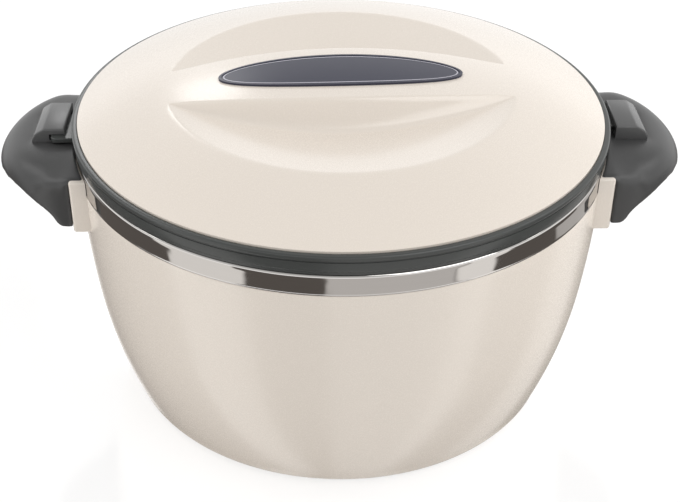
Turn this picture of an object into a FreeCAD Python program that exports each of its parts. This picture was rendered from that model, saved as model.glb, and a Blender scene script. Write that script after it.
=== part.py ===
"""Insulated chapati casserole: a foam-filled bowl with two handles and a twist-lock lid.

Millimetres. +Z is up, the origin is the centre of the base, +X runs through the right
handle and -Y is the front. The lid pieces are turned about Z as they stand in rest.
"""
import FreeCAD, Part
import math
import os
import re
import Sketcher

doc = FreeCAD.newDocument("ChapatiCasserole")
sheet = doc.addObject("Spreadsheet::Sheet", "Sizes")

# Driving sizes, in millimetres and degrees.
SIZES = [
    ("BodyRadius", 128.8),
    ("BodyHeight", 123.7),
    ("BodyWaistInset", 3.6),
    ("BodyWaistHeight", 61.8),
    ("BodyFootInset", 15.4),
    ("BodyCornerRadius", 4.0),
    ("BodyWall", 2.6),
    ("BaseThickness", 3.0),
    ("FootWidth", 9.0),
    ("FootRecess", 1.5),
    ("PlugRadius", 11.0),
    ("PlugThickness", 2.4),
    ("PadSetback", 1.8),
    ("PadDrop", 19.7),
    ("PadRise", 8.0),
    ("PadMargin", 0.5),
    ("PadCornerRadius", 1.5),
    ("PadEdgeRadius", 1.2),
    ("SteelGauge", 0.8),
    ("SkirtHeight", 10.5),
    ("RimShoulder", 2.4),
    ("LipThickness", 2.0),
    ("BowlInset", 11.8),
    ("BowlTaper", 20.0),
    ("BowlCorner", 24.0),
    ("BowlMouthRadius", 2.0),
    ("FoamFloor", 9.7),
    ("FitGap", 0.2),
    ("SlideGap", 0.3),
    ("RingOverhang", 1.2),
    ("RingHeight", 9.7),
    ("RingLip", 2.5),
    ("RingEdgeRadius", 0.8),
    ("RingGrooveDepth", 1.5),
    ("RingGrooveHeight", 1.1),
    ("RingBandInset", 0.7),
    ("RingFootHeight", 1.3),
    ("RingSeatDepth", 5.1),
    ("RingMouthGap", 0.5),
    ("GasketInset", 2.25),
    ("GasketWidth", 5.3),
    ("GasketHeight", 2.5),
    ("RingRimWidth", 3.0),
    ("LidEdgeRise", 0.9),
    ("LidRise", 18.7),
    ("LidCrownBend", 500.0),
    ("LidShoulderBend", 230.0),
    ("LidShoulderWidth", 43.0),
    ("LidWall", 2.5),
    ("ScoopFloorRadius", 30.0),
    ("ScoopFloorRise", 3.4),
    ("GripHalfWidth", 26.5),
    ("GripEndHalfWidth", 10.0),
    ("GripEndInset", 37.0),
    ("GripDraft", 28.0),
    ("PanelGap", 1.2),
    ("PanelDepth", 12.0),
    ("PanelFlange", 5.7),
    ("PanelCorner", 5.0),
    ("BadgeHalfLength", 58.8),
    ("BadgeHalfWidth", 15.9),
    ("BadgeThickness", 0.8),
    ("BadgeFrameWidth", 1.4),
    ("BadgeFrameRise", 0.25),
    ("LidTurn", 2.2),
    ("LugLength", 10.0),
    ("LugHalfLength", 12.5),
    ("LugThickness", 2.5),
    ("LugCorner", 3.0),
    ("HandleHalfWidth", 49.2),
    ("HandleDepth", 40.7),
    ("HandleTopDrop", 0.5),
    ("HandleTopFlat", 12.0),
    ("HandleTopFall", 4.7),
    ("HandleTipRise", 2.8),
    ("HandleLegWidth", 4.5),
    ("HandleLegRound", 5.0),
    ("HandleArchStart", 8.0),
    ("HandleArchFoot", 2.4),
    ("HandleArchReach", 24.8),
    ("HandleArchRise", 15.1),
    ("HandleArchBend", 26.0),
    ("HandleLipRise", 12.8),
    ("HandleLipBend", 60.0),
    ("HandleWall", 3.4),
    ("HandleRound", 13.0),
    ("HandleRootRound", 3.0),
    ("HandleBackRound", 20.0),
    ("HandleGap", 0.5),
    ("HandleBossRadius", 3.6),
    ("HandleBossHeight", 4.0),
    ("HoodGap", 3.0),
    ("HoodDepth", 16.0),
    ("HoodTopDepth", 10.2),
    ("HoodStopWall", 2.7),
    ("HoodMargin", 1.5),
    ("HoodSink", 1.5),
    ("HoodRoofThickness", 2.7),
    ("HoodBevelRise", 0.8),
    ("HoodBend", 14.0),
    ("HoodEdgeRadius", 0.8),
    ("ScrewRadius", 1.7),
    ("ScrewHeadRadius", 3.4),
    ("ScrewHeadHeight", 2.0),
    ("ScrewLength", 9.0),
    ("ScrewInset", 10.2),
    ("ScrewDrop", 6.7),
    ("HoodScrewRadius", 1.1),
    ("HoodScrewHeadRadius", 2.3),
    ("HoodScrewDepth", 4.0),
]
for row, (alias, size) in enumerate(SIZES, 1):
    sheet.set("A%d" % row, alias)
    sheet.set("B%d" % row, str(size))
    sheet.setAlias("B%d" % row, alias)
doc.recompute()
ALIASES = {alias for alias, size in SIZES}

# Sizes that follow from the driving ones, written in terms of them.
DERIVED = {
    "BodyWaistRadius": "BodyRadius - BodyWaistInset",
    "BodyBaseRadius": "BodyWaistRadius - BodyFootInset",
    "BodyUpperBend": "((BodyHeight - BodyWaistHeight)^2 + BodyWaistInset^2) / (2 * BodyWaistInset)",
    "BodyLowerBend": "(BodyFootInset^2 + BodyWaistHeight^2) * BodyUpperBend / (2 * (BodyFootInset"
                     " * (BodyUpperBend - BodyWaistInset)"
                     " - BodyWaistHeight * (BodyHeight - BodyWaistHeight)))",
    "RimTop": "BodyHeight + SkirtHeight",
    "RimFlange": "RimTop - SteelGauge",
    "LipRadius": "BodyRadius - SteelGauge - FitGap",
    "LipTop": "RimTop - RimShoulder - FitGap",
    "BowlRadius": "BodyRadius - BowlInset",
    "BowlFloorRadius": "BowlRadius - BowlTaper",
    "BowlFloor": "FootRecess + BaseThickness + FoamFloor + SteelGauge",
    "PadFace": "BodyRadius - PadSetback",
    "PadHalfWidth": "HandleHalfWidth + PadMargin",
    "PadBottom": "BodyHeight - PadDrop",
    "PadTop": "BodyHeight + PadRise",
    "RingRadius": "BodyRadius + RingOverhang",
    "RingBottom": "RimTop + FitGap",
    "RingTop": "RingBottom + RingHeight",
    "RingBandRadius": "RingRadius - RingBandInset",
    "RingLedge": "RingTop - RingSeatDepth",
    "RingInnerRadius": "BowlRadius + RingMouthGap",
    "GasketInner": "RingInnerRadius + GasketInset",
    "GasketOuter": "GasketInner + GasketWidth",
    "LidEdgeRadius": "RingRadius - RingRimWidth",
    "LidEdgeHeight": "RingTop + LidEdgeRise",
    "LidCrown": "LidEdgeHeight + LidRise",
    "CrownCentre": "LidCrown - LidCrownBend",
    "ScoopRadius": "LidEdgeRadius - LidShoulderWidth",
    "ScoopFloorHeight": "LidEdgeHeight + ScoopFloorRise",
    "GripHalfLength": "LidEdgeRadius - GripEndInset",
    "PanelRadius": "BowlRadius - PanelGap",
    "PanelBottom": "RingLedge - PanelDepth",
    "PanelFlangeRadius": "PanelRadius + PanelFlange",
    "LugReach": "RingRadius + LugLength",
    "LugBottom": "RimTop + FitGap",
    "LugTop": "LugBottom + LugThickness",
    "HandleRoot": "PadFace + FitGap",
    "HandleReach": "HandleRoot + HandleDepth",
    "HandleTop": "RimTop - HandleTopDrop",
    "HandleTip": "PadBottom + HandleTipRise",
    "HandleClearRadius": "BodyRadius + HandleGap",
    "HandleTopBend": "((HandleDepth - HandleTopFlat)^2 + HandleTopFall^2) / (2 * HandleTopFall)",
    "HandleHeight": "HandleTop - HandleTip",
    "HoodInner": "RingRadius + HoodGap",
    "HoodOuter": "HoodInner + HoodDepth",
    "HoodHalfLength": "LugHalfLength + HoodMargin",
    "HoodSeat": "HandleTop - HoodSink",
    "HoodFloor": "LugBottom - SlideGap",
    "HoodRoof": "LugTop + SlideGap",
    "HoodTop": "HoodRoof + HoodRoofThickness",
    "HoodScrewPlace": "LugReach + SlideGap * 2 + HoodScrewRadius * 2",
    "BossBottom": "HoodSeat - HandleBossHeight",
    "ScrewHeight": "BodyHeight - ScrewDrop",
    "ScrewPlace": "HandleHalfWidth - ScrewInset",
}


def expand(text):
    """Replace derived names by their formulas until only sheet names are left."""
    pattern = re.compile(r"[A-Za-z_]\w*")
    while any(word in DERIVED for word in pattern.findall(text)):
        text = pattern.sub(lambda found: "(%s)" % DERIVED[found.group()]
                           if found.group() in DERIVED else found.group(), text)
    return text


def bound(text):
    """The formula as an object of the document writes it, with the sheet's name."""
    return re.sub(r"[A-Za-z_]\w*", lambda found: "Sizes." + found.group()
                  if found.group() in ALIASES else found.group(), expand(text))


def value(text):
    return float(sheet.evalExpression(expand(text)))


def plane_of(body, role):
    return [item for item in body.Origin.OriginFeatures if item.Role == role][0]


def new_body(name):
    body = doc.addObject("PartDesign::Body", name)
    body.Label = name
    return body


def locate(sketch, geo, pos, x, y):
    """Pin one end of an edge at the formulas x and y."""
    for kind, text, axis in (("DistanceX", x, -2), ("DistanceY", y, -1)):
        if abs(value(text)) < 1e-9:
            sketch.addConstraint(Sketcher.Constraint("PointOnObject", geo, pos, axis))
        else:
            index = sketch.addConstraint(Sketcher.Constraint(kind, -1, 1, geo, pos, value(text)))
            sketch.setExpression("Constraints[%d]" % index, bound(text))


def outline(body, name, role, corners, offset=None):
    """A closed sketch through the corners. A corner is (x, y) or (x, y, bend): bend is the
    radius of the arc that leaves it, with a minus sign where the arc turns clockwise."""
    sketch = body.newObject("Sketcher::SketchObject", name)
    sketch.AttachmentSupport = [(plane_of(body, role), "")]
    sketch.MapMode = "FlatFace"
    if offset is not None:
        sketch.setExpression("AttachmentOffset.Base.z", bound(offset))
    points = [FreeCAD.Vector(value(corner[0]), value(corner[1]), 0) for corner in corners]
    ends = []
    for index, corner in enumerate(corners):
        start = points[index]
        stop = points[(index + 1) % len(points)]
        if len(corner) == 2:
            geo = sketch.addGeometry(Part.LineSegment(start, stop), False)
            ends.append((geo, 1, 2))
            continue
        bend = corner[2]
        clockwise = bend.startswith("-")
        bend = bend.lstrip("-")
        radius = value(bend)
        chord = stop - start
        side = FreeCAD.Vector(-chord.y, chord.x, 0).normalize()
        rise = math.sqrt(max(radius ** 2 - (chord.Length / 2) ** 2, 0))
        centre = (start + stop) * 0.5 + side * (-rise if clockwise else rise)
        first, last = (stop, start) if clockwise else (start, stop)
        begin = math.atan2(first.y - centre.y, first.x - centre.x)
        finish = math.atan2(last.y - centre.y, last.x - centre.x)
        if finish < begin:
            finish += 2 * math.pi
        circle = Part.Circle(centre, FreeCAD.Vector(0, 0, 1), radius)
        geo = sketch.addGeometry(Part.ArcOfCircle(circle, begin, finish), False)
        index = sketch.addConstraint(Sketcher.Constraint("Radius", geo, radius))
        sketch.setExpression("Constraints[%d]" % index, bound(bend))
        ends.append((geo, 2, 1) if clockwise else (geo, 1, 2))
    for index, corner in enumerate(corners):
        before = ends[index - 1]
        here = ends[index]
        sketch.addConstraint(Sketcher.Constraint("Coincident", before[0], before[2], here[0], here[1]))
        locate(sketch, here[0], here[1], corner[0], corner[1])
    return sketch


def revolve(body, name, corners, kind="PartDesign::Revolution"):
    sketch = outline(body, name + "_profile", "XZ_Plane", corners)
    feature = body.newObject(kind, name)
    feature.Profile = sketch
    feature.ReferenceAxis = (sketch, ["V_Axis"])
    feature.Angle = 360
    return feature


def extrude(body, name, role, corners, length, offset=None, kind="PartDesign::Pad",
            middle=False, down=False, taper=None):
    sketch = outline(body, name + "_outline", role, corners, offset)
    feature = body.newObject(kind, name)
    feature.Profile = sketch
    feature.setExpression("Length", bound(length))
    if middle:
        feature.SideType = "Symmetric"
    feature.Reversed = down
    if taper is not None:
        feature.setExpression("TaperAngle", bound(taper))
    return feature


def soften(body, name, radius, chosen):
    """Round those edges of a body that pass a test."""
    doc.recompute()
    base = body.Tip
    edges = ["Edge%d" % number for number, edge in enumerate(base.Shape.Edges, 1) if chosen(edge)]
    feature = body.newObject("PartDesign::Fillet", name)
    feature.Base = (base, edges)
    feature.setExpression("Radius", bound(radius))
    return feature


def combine(kind, name, base, tool):
    result = doc.addObject("Part::" + kind, name)
    result.Base = base
    result.Tool = tool
    result.Label = name
    return result


def cylinder(name, radius, height, x="0", y="0", z="0", axis=None):
    """A Part cylinder; axis is the direction that its length runs in, +Z by default."""
    rod = doc.addObject("Part::Cylinder", name)
    rod.setExpression("Radius", bound(radius))
    rod.setExpression("Height", bound(height))
    if axis is not None:
        rod.Placement.Rotation = FreeCAD.Rotation(FreeCAD.Vector(0, 0, 1), axis)
    rod.setExpression("Placement.Base.x", bound(x))
    rod.setExpression("Placement.Base.y", bound(y))
    rod.setExpression("Placement.Base.z", bound(z))
    return rod


def box(name, low, high):
    """A Part box between two corners given as formulas."""
    block = doc.addObject("Part::Box", name)
    for side, start, stop in zip(("Length", "Width", "Height"), low, high):
        block.setExpression(side, bound("(%s) - (%s)" % (stop, start)))
    for axis, start in zip("xyz", low):
        block.setExpression("Placement.Base." + axis, bound(start))
    return block


def oval(name, half_x, half_y, height, x="0", z="0"):
    """An upright column with an elliptical plan; its longer axis may lie along X or Y."""
    plan = doc.addObject("Part::Ellipse", name + "_ellipse")
    plan.setExpression("MajorRadius", bound("max(%s; %s)" % (half_x, half_y)))
    plan.setExpression("MinorRadius", bound("min(%s; %s)" % (half_x, half_y)))
    plan.setExpression("Placement.Rotation.Angle", bound("(%s) > (%s) ? 0 : 90" % (half_x, half_y)))
    plan.setExpression("Placement.Base.x", bound(x))
    plan.setExpression("Placement.Base.z", bound(z))
    column = doc.addObject("Part::Extrusion", name)
    column.Base = plan
    column.DirMode = "Custom"
    column.Dir = FreeCAD.Vector(0, 0, 1)
    column.setExpression("LengthFwd", bound(height))
    column.Solid = True
    return column


def compound(name, links):
    group = doc.addObject("Part::Compound", name)
    group.Links = links
    group.Label = name
    return group


NODES = []


def keep(piece, label):
    """Name a finished sub-part; its label is the name of its file."""
    piece.Label = label
    NODES.append(piece)
    return piece


def turned(piece, angle):
    piece.setExpression("Placement.Rotation.Angle", bound(angle))
    return piece


# The cream outer body. Two arcs make the bowl's side, upright at the top; inside them the
# wall keeps its thickness, and above them a thinner lip stands up inside the steel skirt.
# The foot is a ring, with the base drawn up inside it.
shell = new_body("shell")
revolve(shell, "shell_solid", [
    ("0", "FootRecess"),
    ("BodyBaseRadius - FootWidth - FootRecess", "FootRecess"),
    ("BodyBaseRadius - FootWidth", "0"),
    ("BodyBaseRadius", "0", "BodyLowerBend"),
    ("BodyWaistRadius", "BodyWaistHeight", "BodyUpperBend"),
    ("BodyRadius", "BodyHeight"),
    ("LipRadius", "BodyHeight"),
    ("LipRadius", "LipTop"),
    ("LipRadius - LipThickness", "LipTop"),
    ("LipRadius - LipThickness", "BodyHeight - BodyWall"),
    ("BodyRadius - BodyWall", "BodyHeight - BodyWall * 2", "-BodyUpperBend"),
    ("BodyWaistRadius - BodyWall", "BodyWaistHeight", "-BodyLowerBend"),
    ("BodyBaseRadius - BodyWall", "FootRecess + BaseThickness + BodyWall"),
    ("BodyBaseRadius - BodyWall * 2", "FootRecess + BaseThickness"),
    ("0", "FootRecess + BaseThickness"),
])
soften(shell, "foot_round", "BodyCornerRadius", lambda edge: edge.BoundBox.ZMax < 0.01
       and edge.BoundBox.XMax > value("BodyBaseRadius") - 0.01)

# The pads that carry the handles: flat outer faces, level tops beside the steel skirt, upright
# ends and softened edges.
pads = new_body("pads")
extrude(pads, "pad_block", "XY_Plane", [
    ("-PadFace", "-PadHalfWidth + PadCornerRadius", "PadCornerRadius"),
    ("-PadFace + PadCornerRadius", "-PadHalfWidth"),
    ("PadFace - PadCornerRadius", "-PadHalfWidth", "PadCornerRadius"),
    ("PadFace", "-PadHalfWidth + PadCornerRadius"),
    ("PadFace", "PadHalfWidth - PadCornerRadius", "PadCornerRadius"),
    ("PadFace - PadCornerRadius", "PadHalfWidth"),
    ("-PadFace + PadCornerRadius", "PadHalfWidth", "PadCornerRadius"),
    ("-PadFace", "PadHalfWidth - PadCornerRadius"),
], "PadTop - PadBottom", offset="PadBottom")
soften(pads, "pad_round", "PadEdgeRadius", lambda edge: edge.BoundBox.ZLength < 0.01
       and edge.BoundBox.XLength > value("PadFace"))
pad_core = cylinder("pad_core", "BodyRadius - BodyWall / 2", "PadTop - PadBottom + 2", z="PadBottom - 1")
pad_clear = cylinder("pad_clear", "BodyRadius + FitGap", "PadTop - BodyHeight + 1", z="BodyHeight")
pads_outside = combine("Cut", "pads_outside", pads, pad_core)
pads_trimmed = combine("Cut", "pads_trimmed", pads_outside, pad_clear)
body_fused = combine("Fuse", "body_fused", shell, pads_trimmed)
plug_hole = cylinder("plug_hole", "PlugRadius + FitGap", "BaseThickness + 2", z="FootRecess - 1")
body_drilled = combine("Cut", "body_drilled", body_fused, plug_hole)


def screw_spots():
    """The four handle screws: the side of the pot, and the place along the pad."""
    for side in (1, -1):
        for place in (-1, 1):
            yield side, place


pilots = []
for side, place in screw_spots():
    pilots.append(cylinder(
        "pilot_%d" % (len(pilots) + 1), "ScrewRadius + FitGap / 2", "ScrewLength",
        x="%d * (PadFace - ScrewLength + HandleWall)" % side,
        y="%d * ScrewPlace" % place, z="ScrewHeight", axis=FreeCAD.Vector(side, 0, 0)))
pilot_holes = compound("pilot_holes", pilots)
keep(combine("Cut", "outer_body_solid", body_drilled, pilot_holes), "outer_body")

# The plug that closes the hole through which the foam is poured.
keep(cylinder("plug", "PlugRadius", "PlugThickness", z="FootRecess"), "base_plug")

# The steel inner bowl: turned out over the lip at the top and down as the bright skirt that
# stands on the cream body.
bowl = new_body("bowl")
revolve(bowl, "bowl_sheet", [
    ("0", "BowlFloor - SteelGauge"),
    ("BowlFloorRadius - BowlCorner", "BowlFloor - SteelGauge", "BowlCorner + SteelGauge"),
    ("BowlFloorRadius + SteelGauge", "BowlFloor + BowlCorner"),
    ("BowlRadius + SteelGauge", "RimTop - BowlMouthRadius - SteelGauge", "-BowlMouthRadius"),
    ("BowlRadius + SteelGauge + BowlMouthRadius", "RimTop - SteelGauge"),
    ("BodyRadius - SteelGauge - RimShoulder + SteelGauge", "RimTop - SteelGauge",
     "-(RimShoulder - SteelGauge)"),
    ("BodyRadius - SteelGauge", "RimTop - RimShoulder"),
    ("BodyRadius - SteelGauge", "BodyHeight"),
    ("BodyRadius", "BodyHeight"),
    ("BodyRadius", "RimTop - RimShoulder", "RimShoulder"),
    ("BodyRadius - RimShoulder", "RimTop"),
    ("BowlRadius + SteelGauge + BowlMouthRadius", "RimTop", "BowlMouthRadius + SteelGauge"),
    ("BowlRadius", "RimTop - BowlMouthRadius - SteelGauge"),
    ("BowlFloorRadius", "BowlFloor + BowlCorner", "-BowlCorner"),
    ("BowlFloorRadius - BowlCorner", "BowlFloor"),
    ("0", "BowlFloor"),
])
keep(bowl, "inner_bowl")

# The foam that fills the space between the outer body and the bowl.
foam = new_body("foam")
revolve(foam, "foam_fill", [
    ("0", "FootRecess + BaseThickness + FitGap"),
    ("BodyBaseRadius - BodyWall * 2 - FitGap", "FootRecess + BaseThickness + FitGap"),
    ("BodyBaseRadius - BodyWall - FitGap", "FootRecess + BaseThickness + BodyWall", "BodyLowerBend"),
    ("BodyWaistRadius - BodyWall - FitGap", "BodyWaistHeight", "BodyUpperBend"),
    ("BodyRadius - BodyWall - FitGap * 2", "BodyHeight - BodyWall * 2"),
    ("LipRadius - LipThickness - FitGap * 2", "BodyHeight - BodyWall"),
    ("LipRadius - LipThickness - FitGap * 2", "RimTop - SteelGauge - FitGap"),
    ("BowlRadius + SteelGauge + BowlMouthRadius", "RimTop - SteelGauge - FitGap",
     "BowlMouthRadius - FitGap"),
    ("BowlRadius + SteelGauge + FitGap", "RimTop - BowlMouthRadius - SteelGauge"),
    ("BowlFloorRadius + SteelGauge + FitGap", "BowlFloor + BowlCorner",
     "-(BowlCorner + SteelGauge + FitGap)"),
    ("BowlFloorRadius - BowlCorner", "BowlFloor - SteelGauge - FitGap"),
    ("0", "BowlFloor - SteelGauge - FitGap"),
])
keep(foam, "pot_foam")


def handle_column(name, inset, start):
    """The handle seen from above, inset from its outline: half an oval beyond the pad, with
    level sides that run back to start. The top is level at first, then falls away outward."""
    half = "(HandleHalfWidth - (%s))" % inset
    low = "HandleTip - HandleWall"
    plan = oval(name + "_oval", "HandleDepth - (%s)" % inset, half, "HandleHeight * 2", "HandleRoot", low)
    back = box(name + "_back", (start, "-" + half, low), ("HandleRoot", half, "HandleTop + HandleHeight"))
    side = new_body(name + "_side")
    extrude(side, name + "_top", "XZ_Plane", [
        (start, low),
        ("HandleReach", low),
        ("HandleReach", "HandleTop - HandleTopFall - (%s)" % inset, "HandleTopBend"),
        ("HandleRoot + HandleTopFlat", "HandleTop - (%s)" % inset),
        (start, "HandleTop - (%s)" % inset),
    ], "HandleHalfWidth * 3", middle=True)
    return combine("Common", name, combine("Fuse", name + "_plan", plan, back), side)


def rolled(name, form, rounds):
    """Roll the column's top edge. The rounds are its radii at the pot, where the top begins to
    fall, there again on the far side and at the pot, in order from -Y to +Y."""
    doc.recompute()
    picks = []
    for number, edge in enumerate(form.Shape.Edges, 1):
        bounds = edge.BoundBox
        if bounds.ZMin < value("HandleTop - HandleTopFall - HandleWall") - 0.01 or bounds.XLength < 0.01:
            continue
        if bounds.XMax < value("HandleRoot") + 0.01:
            end = rounds[0] if bounds.YMax < 0 else rounds[3]
            picks.append((number, end, end))
        elif bounds.XMax > value("HandleRoot + HandleTopFlat") + 0.01:
            picks.append((number, rounds[1], rounds[2]))
        elif bounds.YMax < 0:
            picks.append((number, rounds[0], rounds[1]))
        else:
            picks.append((number, rounds[2], rounds[3]))
    roll = doc.addObject("Part::Fillet", name)
    roll.Base = form
    roll.Edges = picks
    return roll


def lock_side(side, angle):
    """One handle with its lock hood, built on the +X side and turned about Z. The handle is
    moulded hollow and open below. Its lower edge hangs down as a leg against the pad, then
    sweeps up in an arch for the fingers, and its top runs back over the pad to the lid ring.
    The top is nearly square to the pad at the front and rolls over widely towards the back."""
    block = handle_column(side + "_block", "0", "HandleRoot - PadHalfWidth / 4")
    rounds = [value(text) for text in ("HandleRootRound", "HandleRound", "HandleRound", "HandleBackRound")]
    inner_rounds = [max(size, rounds[1]) - value("HandleWall") for size in rounds]
    if angle == "180":
        rounds.reverse()
        inner_rounds.reverse()
    rounded = rolled(side + "_rounded", block, rounds)
    belly = new_body(side + "_belly")
    extrude(belly, side + "_belly_side", "XZ_Plane", [
        ("HandleRoot", "HandleTip"),
        ("HandleRoot + HandleLegWidth", "HandleTip", "HandleLegRound"),
        ("HandleRoot + HandleArchStart", "HandleTip + HandleArchFoot", "-HandleArchBend"),
        ("HandleRoot + HandleArchReach", "HandleTip + HandleArchRise", "-HandleLipBend"),
        ("HandleReach + 1", "HandleTip + HandleLipRise"),
        ("HandleReach + 1", "HandleTop + 1"),
        ("HandleRoot - PadHalfWidth / 3", "HandleTop + 1"),
        ("HandleRoot - PadHalfWidth / 3", "PadTop + FitGap"),
        ("HandleRoot", "PadTop + FitGap"),
    ], "HandleHalfWidth * 3", middle=True)
    outer = combine("Common", side + "_outer", rounded, belly)
    void = handle_column(side + "_void", "HandleWall", "HandleRoot - HandleWall")
    hollow = rolled(side + "_hollow", void, inner_rounds)
    core = cylinder(side + "_core", "HandleClearRadius + HandleWall", "HandleHeight * 3",
                    z="HandleTip - HandleHeight")
    back_wall = box(side + "_back_wall", ("0", "-HandleHalfWidth * 2", "HandleTip - HandleHeight"),
                    ("HandleRoot + HandleWall", "HandleHalfWidth * 2", "HandleTip + HandleHeight * 2"))
    hollow_cut = combine("Cut", side + "_hollow_cut", combine("Cut", side + "_void_cut", hollow, core),
                         back_wall)
    carved = combine("Cut", side + "_carved", outer, hollow_cut)
    gap = cylinder(side + "_gap", "HandleClearRadius", "HandleHeight * 3", z="HandleTip - HandleHeight")
    boss = cylinder(side + "_boss", "HandleBossRadius", "HandleBossHeight - FitGap", x="HoodScrewPlace",
                    z="BossBottom")
    cleared = combine("Fuse", side + "_bossed", combine("Cut", side + "_cleared", carved, gap), boss)
    seat = box(side + "_seat", ("HoodInner - FitGap", "-HoodHalfLength - FitGap", "HoodSeat - FitGap / 4"),
               ("HoodOuter + FitGap", "HoodHalfLength + FitGap", "HandleTop + HandleWall"))
    seated = combine("Cut", side + "_seated", cleared, seat)
    holes = []
    for place in (-1, 1):
        holes.append(cylinder("%s_hole_%d" % (side, place + 2), "ScrewRadius + FitGap", "HandleWall * 2",
                              x="HandleRoot - HandleWall / 2", y="%d * ScrewPlace" % place,
                              z="ScrewHeight", axis=FreeCAD.Vector(1, 0, 0)))
    holes.append(cylinder(side + "_hood_hole", "HoodScrewRadius + FitGap", "HandleBossHeight + 2",
                          x="HoodScrewPlace", z="BossBottom - 1"))
    drilled = combine("Cut", side + "_drilled", seated, compound(side + "_holes", holes))
    keep(turned(drilled, angle), side + "_handle")

    hood = new_body(side + "_hood")
    extrude(hood, side + "_hood_block", "XZ_Plane", [
        ("HoodInner", "HoodSeat"),
        ("HoodOuter", "HoodSeat"),
        ("HoodOuter", "HandleTop + HoodBevelRise", "HoodBend"),
        ("HoodInner + HoodTopDepth", "HoodTop"),
        ("HoodInner", "HoodTop"),
    ], "HoodHalfLength * 2", middle=True)
    soften(hood, side + "_hood_round", "HoodEdgeRadius", lambda edge: edge.BoundBox.ZMin
           > value("HandleTop + HoodBevelRise") - 0.01 and edge.BoundBox.XMin > value("HoodInner") + 0.01)
    slot = box(side + "_slot", ("HoodInner - 1", "-HoodHalfLength + HoodStopWall", "HoodFloor"),
               ("LugReach + SlideGap * 2", "HoodHalfLength + 1", "HoodRoof"))
    slotted = combine("Cut", side + "_slotted", hood, slot)
    pilot = cylinder(side + "_hood_pilot", "HoodScrewRadius + FitGap / 2", "HoodScrewDepth + 1",
                     x="HoodScrewPlace", z="HoodSeat - 1 + FitGap")
    keep(turned(combine("Cut", side + "_hood_drilled", slotted, pilot), angle), side + "_lock_hood")

    screws = []
    for place in (-1, 1):
        shank = cylinder("%s_shank_%d" % (side, place + 2), "ScrewRadius", "ScrewLength",
                         x="HandleRoot + HandleWall - ScrewLength + FitGap",
                         y="%d * ScrewPlace" % place, z="ScrewHeight", axis=FreeCAD.Vector(1, 0, 0))
        head = cylinder("%s_head_%d" % (side, place + 2), "ScrewHeadRadius", "ScrewHeadHeight",
                        x="HandleRoot + HandleWall", y="%d * ScrewPlace" % place,
                        z="ScrewHeight", axis=FreeCAD.Vector(1, 0, 0))
        screws.append(combine("Fuse", "%s_screw_%d" % (side, place + 2), shank, head))
    keep(turned(compound(side + "_screw_pair", screws), angle), side + "_handle_screws")
    stem = cylinder(side + "_stem", "HoodScrewRadius", "HandleBossHeight + HoodScrewDepth",
                    x="HoodScrewPlace", z="BossBottom")
    cap = cylinder(side + "_cap", "HoodScrewHeadRadius", "ScrewHeadHeight", x="HoodScrewPlace",
                   z="BossBottom - ScrewHeadHeight")
    keep(turned(combine("Fuse", side + "_hood_screw_solid", stem, cap), angle), side + "_hood_screw")


lock_side("right", "0")
lock_side("left", "180")

# The silicone gasket that lies on the steel rim, inside the groove of the lid ring.
gasket = new_body("gasket")
revolve(gasket, "gasket_section", [
    ("GasketInner", "RimTop"),
    ("GasketOuter", "RimTop"),
    ("GasketOuter", "RimTop + GasketHeight"),
    ("GasketInner", "RimTop + GasketHeight"),
])
keep(gasket, "lid_gasket")

# The dark lid ring: a rounded lip at the top, a groove under it, a plain band and a narrow foot
# outside; a ledge inside for the cover and the panel; a groove below for the gasket.
ring = new_body("ring")
revolve(ring, "ring_section", [
    ("RingInnerRadius", "RingBottom + FitGap"),
    ("GasketInner - SlideGap", "RingBottom + FitGap"),
    ("GasketInner - SlideGap", "RimTop + GasketHeight + SlideGap"),
    ("GasketOuter + SlideGap", "RimTop + GasketHeight + SlideGap"),
    ("GasketOuter + SlideGap", "RingBottom"),
    ("RingRadius - RingGrooveDepth", "RingBottom"),
    ("RingRadius - RingGrooveDepth", "RingBottom + RingFootHeight"),
    ("RingBandRadius", "RingBottom + RingFootHeight + RingEdgeRadius"),
    ("RingBandRadius", "RingTop - RingLip - RingGrooveHeight"),
    ("RingRadius - RingGrooveDepth", "RingTop - RingLip - RingGrooveHeight"),
    ("RingRadius - RingGrooveDepth", "RingTop - RingLip"),
    ("RingRadius", "RingTop - RingLip"),
    ("RingRadius", "RingTop - RingEdgeRadius", "RingEdgeRadius"),
    ("RingRadius - RingEdgeRadius", "RingTop"),
    ("LidEdgeRadius + FitGap", "RingTop"),
    ("LidEdgeRadius + FitGap", "RingLedge"),
    ("RingInnerRadius", "RingLedge"),
])
lugs = new_body("lugs")
extrude(lugs, "lug_bars", "XY_Plane", [
    ("-LugReach", "-LugHalfLength + LugCorner", "LugCorner"),
    ("-LugReach + LugCorner", "-LugHalfLength"),
    ("LugReach - LugCorner", "-LugHalfLength", "LugCorner"),
    ("LugReach", "-LugHalfLength + LugCorner"),
    ("LugReach", "LugHalfLength - LugCorner", "LugCorner"),
    ("LugReach - LugCorner", "LugHalfLength"),
    ("-LugReach + LugCorner", "LugHalfLength", "LugCorner"),
    ("-LugReach", "LugHalfLength - LugCorner"),
], "LugThickness", offset="LugBottom")
lug_core = cylinder("lug_core", "RingRadius - RingGrooveDepth - 1", "LugThickness + 2", z="LugBottom - 1")
lug_tips = combine("Cut", "lug_tips", lugs, lug_core)
keep(turned(combine("Fuse", "ring_with_lugs", ring, lug_tips), "LidTurn"), "lid_ring")


def crown(radius, lift):
    """Height of the lid's crown at a distance from the axis, raised by lift."""
    return "CrownCentre + sqrt((LidCrownBend + (%s))^2 - (%s)^2)" % (lift, radius)


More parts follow.
